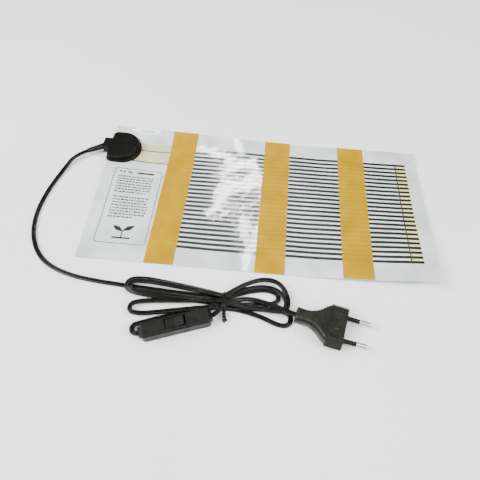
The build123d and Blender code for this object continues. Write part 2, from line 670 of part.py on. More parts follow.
plug_x = (cos(radians(PLUG_YAW)), sin(radians(PLUG_YAW)), 0)
plug_y = (-plug_x[1], plug_x[0], 0)
face_plane = Plane(origin=PIN_FACE_CENTRE, x_dir=plug_y, z_dir=plug_x)
POLES = {"live": 1, "neutral": -1}
PIN_ROOT = 9
PIN_TIP_FILLET = 1.5
CRIMP_RADIUS = 2.2
CRIMP_START = 6.5
CRIMP_END = PIN_ROOT + 3
BRIDGE_START = 5.5
BRIDGE_SIZE = (25, 7)
BRIDGE_CORNER = 2
BRIDGE_THICKNESS = 4


def pin_plane(side, distance=0):
    """Give the plane across one pin, distance out from the plug's face."""
    yaw = radians(PLUG_YAW - side * PIN_TOE_IN)
    base = face_plane.from_local_coords((side * PIN_SPACING / 2, 0, 0))
    along = Vector(cos(yaw), sin(yaw), 0)
    return Plane(origin=base + along * distance, x_dir=(-sin(yaw), cos(yaw), 0), z_dir=along)


plug_pins, pin_sleeves = {}, {}
for pole, side in POLES.items():
    with BuildPart() as plug_pin:
        with BuildSketch(pin_plane(side, -PIN_ROOT)):
            Circle(PIN_CORE_RADIUS)
        extrude(amount=PIN_ROOT + SLEEVE_LENGTH)
        with BuildSketch(pin_plane(side, SLEEVE_LENGTH)):
            Circle(PIN_RADIUS)
        extrude(amount=PIN_LENGTH - SLEEVE_LENGTH)
        tip_axis = Axis(pin_plane(side).origin, pin_plane(side).z_dir)
        fillet(plug_pin.edges().sort_by(tip_axis)[-1], PIN_TIP_FILLET)
    plug_pins[pole] = plug_pin
    finish(plug_pin, f"plug_pin_{pole}")
    with BuildPart() as pin_sleeve:
        with BuildSketch(pin_plane(side)):
            Circle(SLEEVE_RADIUS)
            Circle(PIN_CORE_RADIUS, mode=Mode.SUBTRACT)
        extrude(amount=SLEEVE_LENGTH)
    pin_sleeves[pole] = pin_sleeve
    finish(pin_sleeve, f"pin_sleeve_{pole}")

with BuildPart() as pin_bridge:
    with BuildSketch(face_plane.offset(-BRIDGE_START)):
        RectangleRounded(*BRIDGE_SIZE, BRIDGE_CORNER)
    extrude(amount=BRIDGE_THICKNESS)
    for plug_pin in plug_pins.values():
        add(plug_pin.part, mode=Mode.SUBTRACT)
finish(pin_bridge, "pin_bridge")

# Plug core bends: distance to the side, distance behind the face
CORE_BENDS = [(6.5, PIN_ROOT + 8), (1.1, PLUG_LENGTH - 12), (1.0, PLUG_LENGTH - 1)]
PLUG_CORE_BEND_RADIUS = 3
with BuildPart() as plug_cores:
    for side in POLES.values():
        crimp_end = pin_plane(side, -PIN_ROOT - 1).origin
        bends = [face_plane.from_local_coords((side * across, 0, -behind)) for across, behind in CORE_BENDS]
        wire([crimp_end, *bends], PLUG_CORE_BEND_RADIUS)
finish(plug_cores, "plug_cores")

with BuildPart() as pin_crimps:
    for side in POLES.values():
        with BuildSketch(pin_plane(side, -CRIMP_END)):
            Circle(CRIMP_RADIUS)
        extrude(amount=CRIMP_END - CRIMP_START)
    for gripped in (*plug_pins.values(), plug_cores):
        add(gripped.part, mode=Mode.SUBTRACT)
finish(pin_crimps, "pin_crimps")

# Grip sections: distance behind the face, width, height
GRIP_SECTIONS = [
    (11.0, 33.0, 12.6), (15.5, 26.0, 12.3), (19.0, 19.4, 11.7), (23.0, 14.2, 11.0),
    (27.5, 11.8, 10.4), (33.0, 11.6, 10.2), (36.2, 12.0, 10.2), (PLUG_LENGTH, 11.0, 9.2),
]
RIB_FIRST = 16.5
RIB_STEP = 1.75
RIB_COUNT = 6
RIB_THICKNESS = 0.8
RIB_PROUD = 0.45
GRIP_CORNER = 4
FACE_CORNER = 1.2
PANEL_SIZE = (9, 21)
PANEL_CORNER = 1
PANEL_PROUD = 0.4


def grip_size(distance):
    """Read the grip's width and height between its sections."""
    for (near, near_w, near_h), (far, far_w, far_h) in zip(GRIP_SECTIONS, GRIP_SECTIONS[1:]):
        if near <= distance <= far:
            part_way = (distance - near) / (far - near)
            return near_w + part_way * (far_w - near_w), near_h + part_way * (far_h - near_h)


half_flat, half_height = PLUG_FLAT_WIDTH / 2, PLUG_FACE_HEIGHT / 2
panel_centre = face_plane.from_local_coords((0, half_height, -PLUG_BLOCK_LENGTH / 2))
with BuildPart() as plug_body:
    for distance, width, height in GRIP_SECTIONS:
        with BuildSketch(face_plane.offset(-distance)):
            RectangleRounded(width, height, GRIP_CORNER)
    loft()
    for index in range(RIB_COUNT):
        distance = RIB_FIRST + index * RIB_STEP
        width, height = grip_size(distance)
        with BuildSketch(face_plane.offset(-distance)):
            RectangleRounded(width + 2 * RIB_PROUD, height + 2 * RIB_PROUD, GRIP_CORNER)
        extrude(amount=RIB_THICKNESS)
    with BuildSketch(face_plane):
        with BuildLine():
            Polyline(
                (-half_flat, half_height), (half_flat, half_height), (PLUG_FACE_WIDTH / 2, 0),
                (half_flat, -half_height), (-half_flat, -half_height), (-PLUG_FACE_WIDTH / 2, 0), close=True,
            )
        make_face()
        fillet(vertices(), FACE_CORNER)
    extrude(amount=-PLUG_BLOCK_LENGTH)
    with BuildSketch(Plane(origin=panel_centre, x_dir=plug_x, z_dir=(0, 0, 1))):
        RectangleRounded(*PANEL_SIZE, PANEL_CORNER)
    extrude(amount=PANEL_PROUD)
    for buried in (*plug_pins.values(), *pin_sleeves.values(), pin_crimps, pin_bridge, plug_cores):
        add(buried.part, mode=Mode.SUBTRACT)
finish(plug_body, "plug_body")

# ---------------------------------------------------------------- cord

ARC_SHARE = 0.45


def turn_radii(points):
    """Give each corner the largest arc that leaves a tenth of the shorter run straight."""
    radii = []
    for before, here, after in zip(points, points[1:], points[2:]):
        run_in, run_out = Vector(*here) - Vector(*before), Vector(*after) - Vector(*here)
        turn = radians(run_in.get_angle(run_out))
        radii.append(ARC_SHARE * min(run_in.length, run_out.length) / tan(turn / 2))
    return radii


def cord_tube(points, name):
    """Make one plain tube of cord along straight runs and tangent arcs."""
    radii = turn_radii(points)
    with BuildPart() as tube:
        with BuildLine() as route:
            FilletPolyline(*points, radius=radii)
        with BuildSketch(Plane(origin=route.wire() @ 0, z_dir=route.wire() % 0)):
            Circle(CORD_RADIUS)
        sweep(path=route.wire())
    length = route.wire().length
    expected = length * pi * CORD_RADIUS**2
    print(name, "radii", [round(radius, 1) for radius in radii])
    print(name, "length", round(length, 1))
    print(name, "volume", round(tube.part.volume, 1), "section x length", round(expected, 1))
    finish(tube, name)
    return tube


LEAD_LIFT = 2.0
BOOT_RUN = 12
LEAD_ROUTE = [
    tuple(boot_plane.offset(BOOT_LENGTH).origin),
    tuple(boot_plane.offset(BOOT_LENGTH + BOOT_RUN).origin),
    (-190.5, 17.5, LEAD_LIFT),
    (-197.0, -9.0, LEAD_LIFT),
    (-198.0, -38.0, LEAD_LIFT),
    (-190.5, -63.5, LEAD_LIFT),
    (-174.5, -83.0, LEAD_LIFT),
    (-150.5, -92.5, LEAD_LIFT),
    (-124.0, -96.5, LEAD_LIFT),
    (-98.5, -99.5, LEAD_LIFT + 0.2),
]
cord_lead = cord_tube(LEAD_ROUTE, "cord_lead")

# The last stretch turns back in a tight U and enters the switch's left end
U_LANE = 9.8
U_CENTRE = -30.2
U_CORNER = U_LANE / 2 * tan(radians(22.5))
U_START = U_CENTRE + 2
switch_turn = [
    (U_START, U_LANE, 2.4),
    (U_CENTRE - U_CORNER, U_LANE, 2.7),
    (U_CENTRE - U_LANE / 2, U_LANE / 2 + U_CORNER, 3.3),
    (U_CENTRE - U_LANE / 2, U_LANE / 2 - U_CORNER, 4.0),
    (U_CENTRE - U_CORNER, 0, CORD_ENTRY_HEIGHT),
    (-nozzle_end, 0, CORD_ENTRY_HEIGHT),
]
cord_switch = cord_tube(
    [tuple(switch_plane.from_local_coords(point)) for point in switch_turn], "cord_switch"
)

# The plug's own short end comes off the top of the hank
NECK_GAP = 4.5
with BuildPart() as cord_plug:
    with BuildSketch(face_plane.offset(-PLUG_LENGTH - NECK_GAP)):
        Circle(CORD_RADIUS)
    extrude(amount=NECK_GAP)
finish(cord_plug, "cord_plug")

# Tie round the hank's waist, with its twisted tail on the near side
TIE_TAIL = 6
with BuildPart() as twist_tie:
    with Locations((*TIE_CENTRE, HANK_HEIGHT / 2)):
        Box(TIE_WIDTH, TIE_SPAN, HANK_HEIGHT)
        Box(TIE_WIDTH, TIE_SPAN - 2 * TIE_THICKNESS, HANK_HEIGHT - 2 * TIE_THICKNESS, mode=Mode.SUBTRACT)
    with Locations((TIE_CENTRE[0], TIE_CENTRE[1] - TIE_SPAN / 2 - TIE_TAIL / 2, TIE_THICKNESS)):
        Box(TIE_WIDTH, TIE_TAIL, 2 * TIE_THICKNESS)
finish(twist_tie, "twist_tie")

hank_outline = [
    (-101, -103), (-99, -94.5), (-92, -91), (-70, -91), (-27, -97.2), (-20, -98.5), (-8, -94),
    (6, -83), (14, -79.8), (22, -82), (28.5, -92), (32.6, -103), (33.4, -111), (33.2, -119), (28, -122.8),
    (14, -118.5), (2, -113.2), (-12, -112.6), (-22.5, -113.1), (-24.8, -114.4),
]
nub = [tuple(switch_plane.from_local_coords(point))[:2] for point in (
    (nozzle_end + 3.2, -1.5), (nozzle_end + 0.4, -2.0), (nozzle_end + 0.4, 7.2), (20, 7.9),
    (U_START, U_LANE - CORD_RADIUS), (U_START, U_LANE + CORD_RADIUS),
)]
with BuildPart() as cord_hank:
    with BuildSketch(Plane.XY):
        with BuildLine():
            Polyline(*hank_outline, *nub, (-94.5, -117), close=True)
        make_face()
    extrude(amount=HANK_HEIGHT)
    with Locations((*TIE_CENTRE, HANK_HEIGHT / 2)):
        Box(TIE_WIDTH, TIE_SPAN + 2 * CORD_RADIUS, HANK_HEIGHT, mode=Mode.SUBTRACT)
        Box(TIE_WIDTH, TIE_SPAN - 2 * TIE_THICKNESS, HANK_HEIGHT - 2 * TIE_THICKNESS)
    for cord_end in (cord_lead, cord_switch, cord_plug):
        add(cord_end.part, mode=Mode.SUBTRACT)
finish(cord_hank, "cord_hank")
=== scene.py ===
import random
from math import cos, pi, radians, sin, sqrt

import bmesh
import bpy
from mathutils import Matrix, Vector


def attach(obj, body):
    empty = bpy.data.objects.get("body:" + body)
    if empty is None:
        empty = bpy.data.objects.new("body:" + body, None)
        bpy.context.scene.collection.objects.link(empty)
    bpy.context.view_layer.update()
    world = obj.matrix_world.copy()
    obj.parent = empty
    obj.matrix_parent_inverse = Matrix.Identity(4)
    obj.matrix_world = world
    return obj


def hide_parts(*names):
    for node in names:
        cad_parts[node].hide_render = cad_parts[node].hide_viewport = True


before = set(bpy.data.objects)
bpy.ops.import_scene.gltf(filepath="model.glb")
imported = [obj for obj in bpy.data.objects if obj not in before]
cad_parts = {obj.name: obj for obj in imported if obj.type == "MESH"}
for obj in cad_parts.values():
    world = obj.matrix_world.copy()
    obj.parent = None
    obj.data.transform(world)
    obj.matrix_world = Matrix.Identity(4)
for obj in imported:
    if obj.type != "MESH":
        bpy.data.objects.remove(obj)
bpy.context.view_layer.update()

# ------------------------------------------------------------------ camera
# A small table-top view from the front and above, with the mat's long side nearly level.
# The camera looks along its own -Z and is rolled by one degree.

CAMERA_PLACE = Vector((0.00221, -0.23570, 0.30036))
CAMERA_AZIMUTH, CAMERA_ELEVATION, CAMERA_ROLL = radians(4.66), radians(57.36), radians(0.97)
LENS, SENSOR = 30.80, 36

ahead = Vector((
    -sin(CAMERA_AZIMUTH) * cos(CAMERA_ELEVATION),
    cos(CAMERA_AZIMUTH) * cos(CAMERA_ELEVATION),
    -sin(CAMERA_ELEVATION),
))
level = Vector((cos(CAMERA_AZIMUTH), sin(CAMERA_AZIMUTH), 0))
turn = Matrix((level, level.cross(ahead), -ahead)).transposed().to_4x4()

camera = bpy.data.objects.new("camera", bpy.data.cameras.new("camera"))
camera.data.lens, camera.data.sensor_width = LENS, SENSOR
camera.data.clip_start = 0.01
camera.matrix_world = Matrix.Translation(CAMERA_PLACE) @ turn @ Matrix.Rotation(CAMERA_ROLL, 4, "Z")
bpy.context.scene.collection.objects.link(camera)
bpy.context.scene.camera = camera

# ------------------------------------------------------------------ the flex
# Flat twin flex, two stranded copper cores side by side in one black PVC sheath, 4 mm by
# 2.4 mm. It runs from the junction box round the mat's corner to a tied hank, in which it is
# folded seven times, and on into the switch; a short second length joins switch and plug.

FLEX_WIDTH = 0.0040
CORE_WALL_RADIUS = 0.0012
CORE_SPACING = FLEX_WIDTH / 2 - CORE_WALL_RADIUS
FLEX_ON_FLOOR = 0.0014

BOOT_TIP = Vector((-0.17243, 0.04161, 0.00540))
BOOT_LINE = Vector((-0.9035, -0.4213, -0.0785))
SWITCH_MIDDLE = Vector((-0.0542, -0.1272, 0))
SWITCH_YAW = radians(20)
SWITCH_NOZZLE = 0.028

WAIST_X = -0.0200
WAIST_COLUMNS = (-0.1010, -0.1049, -0.1088)
WAIST_LAYERS = (0.0019, 0.0043, 0.0067)


def linear(hex_colour):
    """Turn an sRGB hex colour into linear red, green, blue and alpha."""
    parts = [int(hex_colour[start:start + 2], 16) / 255 for start in (1, 3, 5)]
    return (*(c / 12.92 if c <= 0.04045 else ((c + 0.055) / 1.055) ** 2.4 for c in parts), 1)


def add_node(tree, kind, inputs=None, **settings):
    """Add a node with its settings, and fill its inputs with values or with other nodes' outputs."""
    node = tree.nodes.new(kind)
    for name, value in settings.items():
        setattr(node, name, value)
    for name, value in (inputs or {}).items():
        if isinstance(value, bpy.types.NodeSocket):
            tree.links.new(value, node.inputs[name])
        else:
            node.inputs[name].default_value = value
    return node


def new_material(name, **constants):
    """Start a material and set its shader's constants, then give its tree and shader."""
    material = bpy.data.materials.new(name)
    material.use_nodes = True
    shader = material.node_tree.nodes["Principled BSDF"]
    for socket, value in constants.items():
        shader.inputs[socket.replace("_", " ")].default_value = value
    return material, material.node_tree, shader


def mottle(tree, shader, place, size, dark, light, detail=4):
    """Vary the shader's colour between two hex colours over blotches of the given size in metres."""
    noise = add_node(tree, "ShaderNodeTexNoise", {"Vector": place, "Scale": 1 / size, "Detail": detail})
    ramp = add_node(tree, "ShaderNodeValToRGB", {"Fac": noise.outputs["Fac"]})
    ramp.color_ramp.elements[0].position, ramp.color_ramp.elements[1].position = 0.35, 0.65
    ramp.color_ramp.elements[0].color, ramp.color_ramp.elements[1].color = linear(dark), linear(light)
    tree.links.new(ramp.outputs["Color"], shader.inputs["Base Color"])
    return noise, ramp


def grain(tree, shader, place, size, depth, under=None, socket="Normal"):
    """Add a bump of fine grain, size across and depth deep in metres, on top of another bump."""
    noise = add_node(tree, "ShaderNodeTexNoise", {"Vector": place, "Scale": 1 / size, "Detail": 2.0})
    inputs = {"Height": noise.outputs["Fac"], "Distance": depth, "Strength": 1.0}
    if under is not None:
        inputs["Normal"] = under.outputs["Normal"]
    bump = add_node(tree, "ShaderNodeBump", inputs)
    tree.links.new(bump.outputs["Normal"], shader.inputs[socket])
    return bump


def roughness_patches(tree, shader, place, size, low, high):
    """Let the roughness wander between two values over patches of the given size in metres."""
    noise = add_node(tree, "ShaderNodeTexNoise", {"Vector": place, "Scale": 1 / size, "Detail": 3.0})
    spread = add_node(tree, "ShaderNodeMapRange", {"Value": noise.outputs["Fac"], "From Min": 0.3,
                                                   "From Max": 0.7, "To Min": low, "To Max": high})
    tree.links.new(spread.outputs["Result"], shader.inputs["Roughness"])


def object_place(tree):
    """Give the place of each surface point in the object's own frame."""
    return add_node(tree, "ShaderNodeTexCoord").outputs["Object"]


def plastic(name, dark, light, rough, grain_size, grain_depth, **constants):
    """Make a plastic: a colour that wanders a little, dull and shiny patches, and a fine grain."""
    material, tree, shader = new_material(name, **{"IOR": 1.46, "Specular_IOR_Level": 0.35} | constants)
    place = object_place(tree)
    mottle(tree, shader, place, 0.004, dark, light)
    roughness_patches(tree, shader, place, 0.006, *rough)
    grain(tree, shader, place, grain_size, grain_depth)
    return material


# Extruded PVC: satin, with a soft line of light along each core and faint drag marks
flex_pvc = plastic("extruded_black_pvc", "#070805", "#12130e", (0.16, 0.26), 0.0006, 0.000006)


def add_mesh(name, bm, body, material, smooth=True):
    """Make a bmesh an object that rides on a body, with its material."""
    mesh = bpy.data.meshes.new(name)
    bm.to_mesh(mesh)
    bm.free()
    mesh.polygons.foreach_set("use_smooth", [smooth] * len(mesh.polygons))
    mesh.materials.append(material)
    piece = bpy.data.objects.new(name, mesh)
    bpy.context.scene.collection.objects.link(piece)
    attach(piece, body)
    return piece


def smooth_line(name, points):
    """Lay a smooth line with these control points."""
    line = bpy.data.objects.new(name, bpy.data.curves.new(name, "CURVE"))
    line.data.dimensions = "3D"
    line.data.resolution_u = 8
    spline = line.data.splines.new("NURBS")
    spline.points.add(len(points) - 1)
    for control, point in zip(spline.points, points):
        control.co = (*point, 1)
    spline.order_u = 3
    spline.use_endpoint_u = True
    bpy.context.scene.collection.objects.link(line)
    return line


def twin_section():
    """Draw the flex's section: two round lobes that run into each other."""
    lobe_turn = pi - 0.84
    lobe = [lobe_turn * (step / 4 - 1) for step in range(9)]
    outline = [(side * (CORE_SPACING + CORE_WALL_RADIUS * cos(a)), side * CORE_WALL_RADIUS * sin(a))
               for side in (1, -1) for a in lobe]
    section = bpy.data.objects.new("section", bpy.data.curves.new("section", "CURVE"))
    spline = section.data.splines.new("POLY")
    spline.points.add(len(outline) - 1)
    for control, (across, up) in zip(spline.points, outline):
        control.co = (across, up, 0, 1)
    spline.use_cyclic_u = True
    bpy.context.scene.collection.objects.link(section)
    return section


def flat_flex(name, points):
    """Sweep the twin section along a smooth line, its flat side kept level."""
    line = smooth_line(name + "_line", points)
    path = [vertex.co.copy() for vertex in bpy.data.meshes.new_from_object(line).vertices]
    section = twin_section()
    line.data.bevel_mode, line.data.bevel_object = "OBJECT", section
    line.data.twist_mode, line.data.use_fill_caps = "Z_UP", True
    bpy.context.view_layer.update()
    evaluated = line.evaluated_get(bpy.context.evaluated_depsgraph_get())
    bm = bmesh.new()
    bm.from_mesh(bpy.data.meshes.new_from_object(evaluated))
    bmesh.ops.remove_doubles(bm, verts=bm.verts, dist=1e-6)
    bmesh.ops.recalc_face_normals(bm, faces=bm.faces)
    bpy.data.objects.remove(line)
    bpy.data.objects.remove(section)
    return add_mesh(name, bm, "mat", flex_pvc), path


def on_switch(along, across, height):
    """Give a point stated along and across the switch, from its middle."""
    return SWITCH_MIDDLE + Vector((
        along * cos(SWITCH_YAW) - across * sin(SWITCH_YAW),
        along * sin(SWITCH_YAW) + across * cos(SWITCH_YAW),
        height,
    ))


def waist(column, layer):
    """Give one of the nine places where strands pass side by side through the tie."""
    return Vector((WAIST_X, WAIST_COLUMNS[column], WAIST_LAYERS[layer]))


def hank_loop(start, end, reach, heading, leaving, returning, height):
    """Work out one fold of the hank: out from the waist, round its end and back.

    leaving and returning each give how far that side stands off the fold's middle line,
    how late it spreads, and how blunt its end is.
    """
    middle = Vector((cos(radians(heading)), sin(radians(heading)), 0))
    side = Vector((-middle.y, middle.x, 0))
    points = []
    for step in range(1, FOLD_STEPS):
        out = sin(pi * step / FOLD_STEPS) ** 2
        width, late, blunt = leaving if step < FOLD_STEPS / 2 else returning
        stand_off = width * out**late * sqrt(1 - out**blunt)
        point = start.lerp(end, step / FOLD_STEPS) + middle * reach * out + side * stand_off
        point.z += (height - point.z) * min(1, 1.6 * out)
        points.append(point)
    return points


FOLD_STEPS = 11
# The column and layer in which the flex passes the tie, each time that it does
WAIST_ORDER = [(0, 0), (1, 0), (0, 1), (1, 1), (0, 2), (1, 2), (2, 1), (2, 0)]
# Folds in the order in which they were wound: reach, heading, leaving, returning and height
FOLDS = [
    (0.0435, 9, (0.015, 1, 1.8), (-0.0052, 0.5, 14), FLEX_ON_FLOOR),
    (0.081, 176, (0.0066, 0.6, 22), (-0.0080, 0.5, 22), 0.0039),
    (0.0495, -1, (0.036, 1, 1.1), (-0.0045, 0.5, 12), 0.0039),
    (0.078, 177, (0.0046, 0.7, 24), (-0.0062, 0.7, 22), 0.0063),
    (0.0505, -3.5, (0.055, 1, 1.1), (-0.0045, 0.5, 12), 0.0063),
    (0.0745, 187.5, (-0.0054, 0.7, 24), (0.0064, 1.2, 24), 0.0039),
    (0.0535, -4.2, (0.0065, 1.0, 12), (-0.014, 3.0, 10), FLEX_ON_FLOOR),
]

lead_route = [
    BOOT_TIP - BOOT_LINE * 0.003,
    BOOT_TIP + BOOT_LINE * 0.012,
    Vector((-0.1905, 0.0175, 0.0018)),
    Vector((-0.1970, -0.0090, FLEX_ON_FLOOR)),
    Vector((-0.1980, -0.0380, FLEX_ON_FLOOR)),
    Vector((-0.1905, -0.0635, FLEX_ON_FLOOR)),
    Vector((-0.1745, -0.0830, FLEX_ON_FLOOR)),
    Vector((-0.1505, -0.0925, FLEX_ON_FLOOR)),
    Vector((-0.1240, -0.0960, FLEX_ON_FLOOR)),
    Vector((-0.0985, -0.0975, FLEX_ON_FLOOR)),
    Vector((-0.0780, -0.0985, FLEX_ON_FLOOR)),
    Vector((-0.0580, -0.0995, FLEX_ON_FLOOR)),
    Vector((-0.0380, -0.1004, 0.0016)),
]
for number, fold in enumerate(FOLDS):
    here, there = waist(*WAIST_ORDER[number]), waist(*WAIST_ORDER[number + 1])
    lead_route += [here, *hank_loop(here, there, *fold)]
lead_route += [
    waist(*WAIST_ORDER[-1]),
    Vector((-0.0347, -0.1104, 0.0020)),
    Vector((-0.0508, -0.1159, 0.0022)),
    Vector((-0.0651, -0.1209, 0.0022)),
    on_switch(-0.0262, 0.0089, 0.0024),
    on_switch(-0.0300, 0.0089, 0.0027),
    on_switch(-0.0328, 0.0066, 0.0033),
    on_switch(-0.0328, 0.0026, 0.0041),
    on_switch(-0.0300, 0, 0.0048),
    on_switch(-SWITCH_NOZZLE + 0.001, 0, 0.0048),
]
lead_flex, lead_path = flat_flex("lead_flex", lead_route)
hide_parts("cord_lead", "cord_hank", "cord_switch")

plug_route = [
    on_switch(SWITCH_NOZZLE - 0.001, 0, 0.0048),
    on_switch(0.0320, 0.0008, 0.0054),
    Vector((-0.0205, -0.1083, 0.0069)),
    Vector((-0.0100, -0.1034, 0.0068)),
    Vector((0.0000, -0.1014, 0.0066)),
    Vector((0.0120, -0.1036, 0.0066)),
    Vector((0.0240, -0.1072, 0.0068)),
    Vector((0.0315, -0.1102, 0.00685)),
    Vector((0.0365, -0.1113, 0.00685)),
]
plug_flex, plug_path = flat_flex("plug_flex", plug_route)
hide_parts("cord_plug")

# ------------------------------------------------------------------ the curled sheet
# The mat is a thin laminate of two polyester films, so it never lies quite flat: the corner
# with the junction box and the far near corner lift, and the film is slightly rippled.

HALF_LENGTH, HALF_WIDTH = 0.150, 0.075
CURL_START, CURL_RADIUS = -0.050, 0.900
NEAR_CORNER_LIFT, NEAR_CORNER_START = 0.0128, 0.010
SWELL_LIFT, SWELL_PLACE, SWELL_REACH = 0.0056, -0.095, 0.150
RIPPLE_LIFT = 0.00022
BACKING, PRINT_TOP, LAMINATE = 0.00035, 0.00045, 0.00075


def ease(value, low, high):
    """Rise smoothly from 0 at low to 1 at high."""
    share = min(1, max(0, (value - low) / (high - low)))
    return share * share * (3 - 2 * share)


def rise(x, y):
    """Give the height of the mat's underside: its two lifted corners, the swell between, and ripples."""
    run = max(0, CURL_START - x)
    box_corner = 0.12 + 0.88 * ease(y, -0.045, 0.026)
    left = (CURL_RADIUS - sqrt(CURL_RADIUS**2 - run**2)) * box_corner
    right_run = max(0, x - NEAR_CORNER_START) / (HALF_LENGTH - NEAR_CORNER_START)
    right = NEAR_CORNER_LIFT * right_run**2 * (0.04 + 0.96 * (0.5 - y / (2 * HALF_WIDTH)) ** 2)
    off_box = ease(x, -0.119, -0.072)
    swell = SWELL_LIFT * cos(pi * min(SWELL_REACH, abs(x - SWELL_PLACE)) / (2 * SWELL_REACH)) ** 2
    far_edge = swell * (off_box * (max(0, y) / HALF_WIDTH) ** 3 + (1 - off_box) * ease(y, 0.0675, 0.0765))
    crossed = sin(71 * x + 44 * y) * sin(63 * y - 29 * x + 1.3) + 0.6 * sin(130 * x + 52 * y + 0.7)
    ripple = RIPPLE_LIFT * crossed + 0.00036
    return left + right + far_edge + ripple * off_box


def close_sheet(bm, thickness):
    """Give a flat sheet its thickness upwards, then curl it with the mat."""
    grown = bmesh.ops.extrude_face_region(bm, geom=bm.faces[:])
    top = [part for part in grown["geom"] if isinstance(part, bmesh.types.BMVert)]
    bmesh.ops.translate(bm, verts=top, vec=(0, 0, thickness))
    for vertex in bm.verts:
        vertex.co.z += rise(vertex.co.x, vertex.co.y)
    bmesh.ops.recalc_face_normals(bm, faces=bm.faces)


def sheet_piece(x_range, y_range, low, high, step=0.0025):
    """Lay one closed piece of sheet between two heights above the mat's curled underside."""
    length, width = x_range[1] - x_range[0], y_range[1] - y_range[0]
    place = Matrix.Translation(((x_range[0] + x_range[1]) / 2, (y_range[0] + y_range[1]) / 2, low))
    bm = bmesh.new()
    bmesh.ops.create_grid(
        bm, x_segments=max(1, round(length / step)), y_segments=max(1, round(width / step)), size=0.5,
        matrix=place @ Matrix.Diagonal((length, width, 1, 1)),
    )
    close_sheet(bm, high - low)
    return bm


def add_sheet(name, bm, material):
    """Make a sheet an object: its faces smooth, its cut edges crisp."""
    piece = add_mesh(name, bm, "mat", material)
    piece.data.set_sharp_from_angle(angle=radians(40))
    return piece


def gloss_laminate(name, dark, light, blotch=0.030):
    """Make a colour that is seen through the laminate's clear glossy film."""
    material, tree, shader = new_material(name, IOR=1.5, Roughness=0.42, Coat_Weight=1.0, Coat_IOR=1.5)
    shader.inputs["Coat Roughness"].default_value = 0.07
    place = object_place(tree)
    mottle(tree, shader, place, blotch, dark, light, detail=5)
    waves = grain(tree, shader, place, 0.024, 0.00035, socket="Coat Normal")
    grain(tree, shader, place, 0.0016, 0.000010, under=waves, socket="Coat Normal")
    return material


# Laminated polyester: a milky white sheet under a clear, hard gloss that shows every ripple
white_laminate = gloss_laminate("milky_white_polyester_laminate", "#bdc9c3", "#e0e9e5")
mat_film = add_sheet(
    "mat_film",
    sheet_piece((-HALF_LENGTH, HALF_LENGTH), (-HALF_WIDTH, HALF_WIDTH), 0, LAMINATE),
    white_laminate,
)
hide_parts("backing_film", "edge_seal", "top_film")

# ------------------------------------------------------------------ printed heater
# Twenty-four lines of carbon ink, silk-screened side by side and joined at both ends by
# copper-backed bus bars, which show as pale bands. Two wider bands lead to the junction box.

INK_RELIEF = 0.00004
TRACE_COUNT, TRACE_PITCH, TRACE_WIDTH = 24, 0.00492, 0.0027
TRACE_SPAN = (-0.0720, 0.1390)
BUS_SPAN = (0.1300, 0.1395)

# Printed under the film, so both have its gloss: the ink near black, the foil pale straw
carbon_ink = gloss_laminate("printed_carbon_ink", "#050704", "#0c100a", blotch=0.008)
bus_foil = gloss_laminate("pale_bus_foil", "#d2d08f", "#e3e0a4", blotch=0.012)


def join(parts):
    """Put several bmeshes into one."""
    whole = bmesh.new()
    for part in parts:
        mesh = bpy.data.meshes.new("part")
        part.to_mesh(mesh)
        part.free()
        whole.from_mesh(mesh)
        bpy.data.meshes.remove(mesh)
    return whole


def ink(x_range, y_range, layers=1, step=0.0025):
    """Print a rectangle on the film, some layers of ink proud of it."""
    return sheet_piece(x_range, y_range, LAMINATE - INK_RELIEF, LAMINATE + layers * INK_RELIEF, step)


first_line = (TRACE_COUNT - 1) * TRACE_PITCH / 2
line_places = [first_line - index * TRACE_PITCH for index in range(TRACE_COUNT)]
traces = add_sheet(
    "heater_traces",
    join([ink(TRACE_SPAN, (y - TRACE_WIDTH / 2, y + TRACE_WIDTH / 2), layers=2) for y in line_places]),
    carbon_ink,
)
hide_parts("carbon_traces")

bus_reach = first_line + 0.002
far_bus = add_sheet("far_bus_bar", ink(BUS_SPAN, (-bus_reach, bus_reach)), bus_foil)
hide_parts("bus_bar_far")
near_bus_span = (-0.0815, -0.0720)
near_buses = add_sheet(
    "near_bus_bars",
    join([ink(near_bus_span, (0.0485, bus_reach)), ink(near_bus_span, (-bus_reach, 0.0465))]),
    bus_foil,
)
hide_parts("bus_bar_live", "bus_bar_neutral")

LEAD_BANDS = {"live": (0.0498, 0.0592), "neutral": (0.0352, 0.0475)}
LEAD_SPAN = (-0.1360, -0.0815)
# The lead bands are a little greyer and creamier than the bus bars
lead_cream = gloss_laminate("cream_lead_band", "#c9c592", "#dad6a8", blotch=0.010)
for pole, band in LEAD_BANDS.items():
    lead_band = add_sheet(f"lead_band_{pole}", ink(LEAD_SPAN, band), lead_cream)
    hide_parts(f"lead_strip_{pole}")

HAIRLINE = 0.0011
# Thin dark grey lines, which sharpen the edges of the bands
grey_line = gloss_laminate("grey_print_line", "#24281f", "#34382e", blotch=0.006)
hairlines = [ink(LEAD_SPAN, (band[0] - HAIRLINE, band[0]), layers=2) for band in LEAD_BANDS.values()]
hairlines.append(ink((BUS_SPAN[0] - HAIRLINE, BUS_SPAN[0]), (-bus_reach, bus_reach), layers=3))
add_sheet("edge_lines", join(hairlines), grey_line)

# ------------------------------------------------------------------ adhesive strips
# Three strips of double-sided acrylic tape across the mat, each under a yellow peel-off liner
# of siliconised film. The liner is slightly see-through, so the ink lines show as a faint tint.

TAPE_CENTRES = {"left": -0.0793, "centre": 0.0137, "right": 0.0862}
TAPE_HALF, TAPE_INSET = 0.0125, 0.0003
TAPE_TOP, LINER_TOP = 0.00095, 0.00112


def calculate(tree, operation, *values):
    """Work out one step of arithmetic on values or other nodes' outputs."""
    return add_node(tree, "ShaderNodeMath", dict(enumerate(values)), operation=operation).outputs[0]


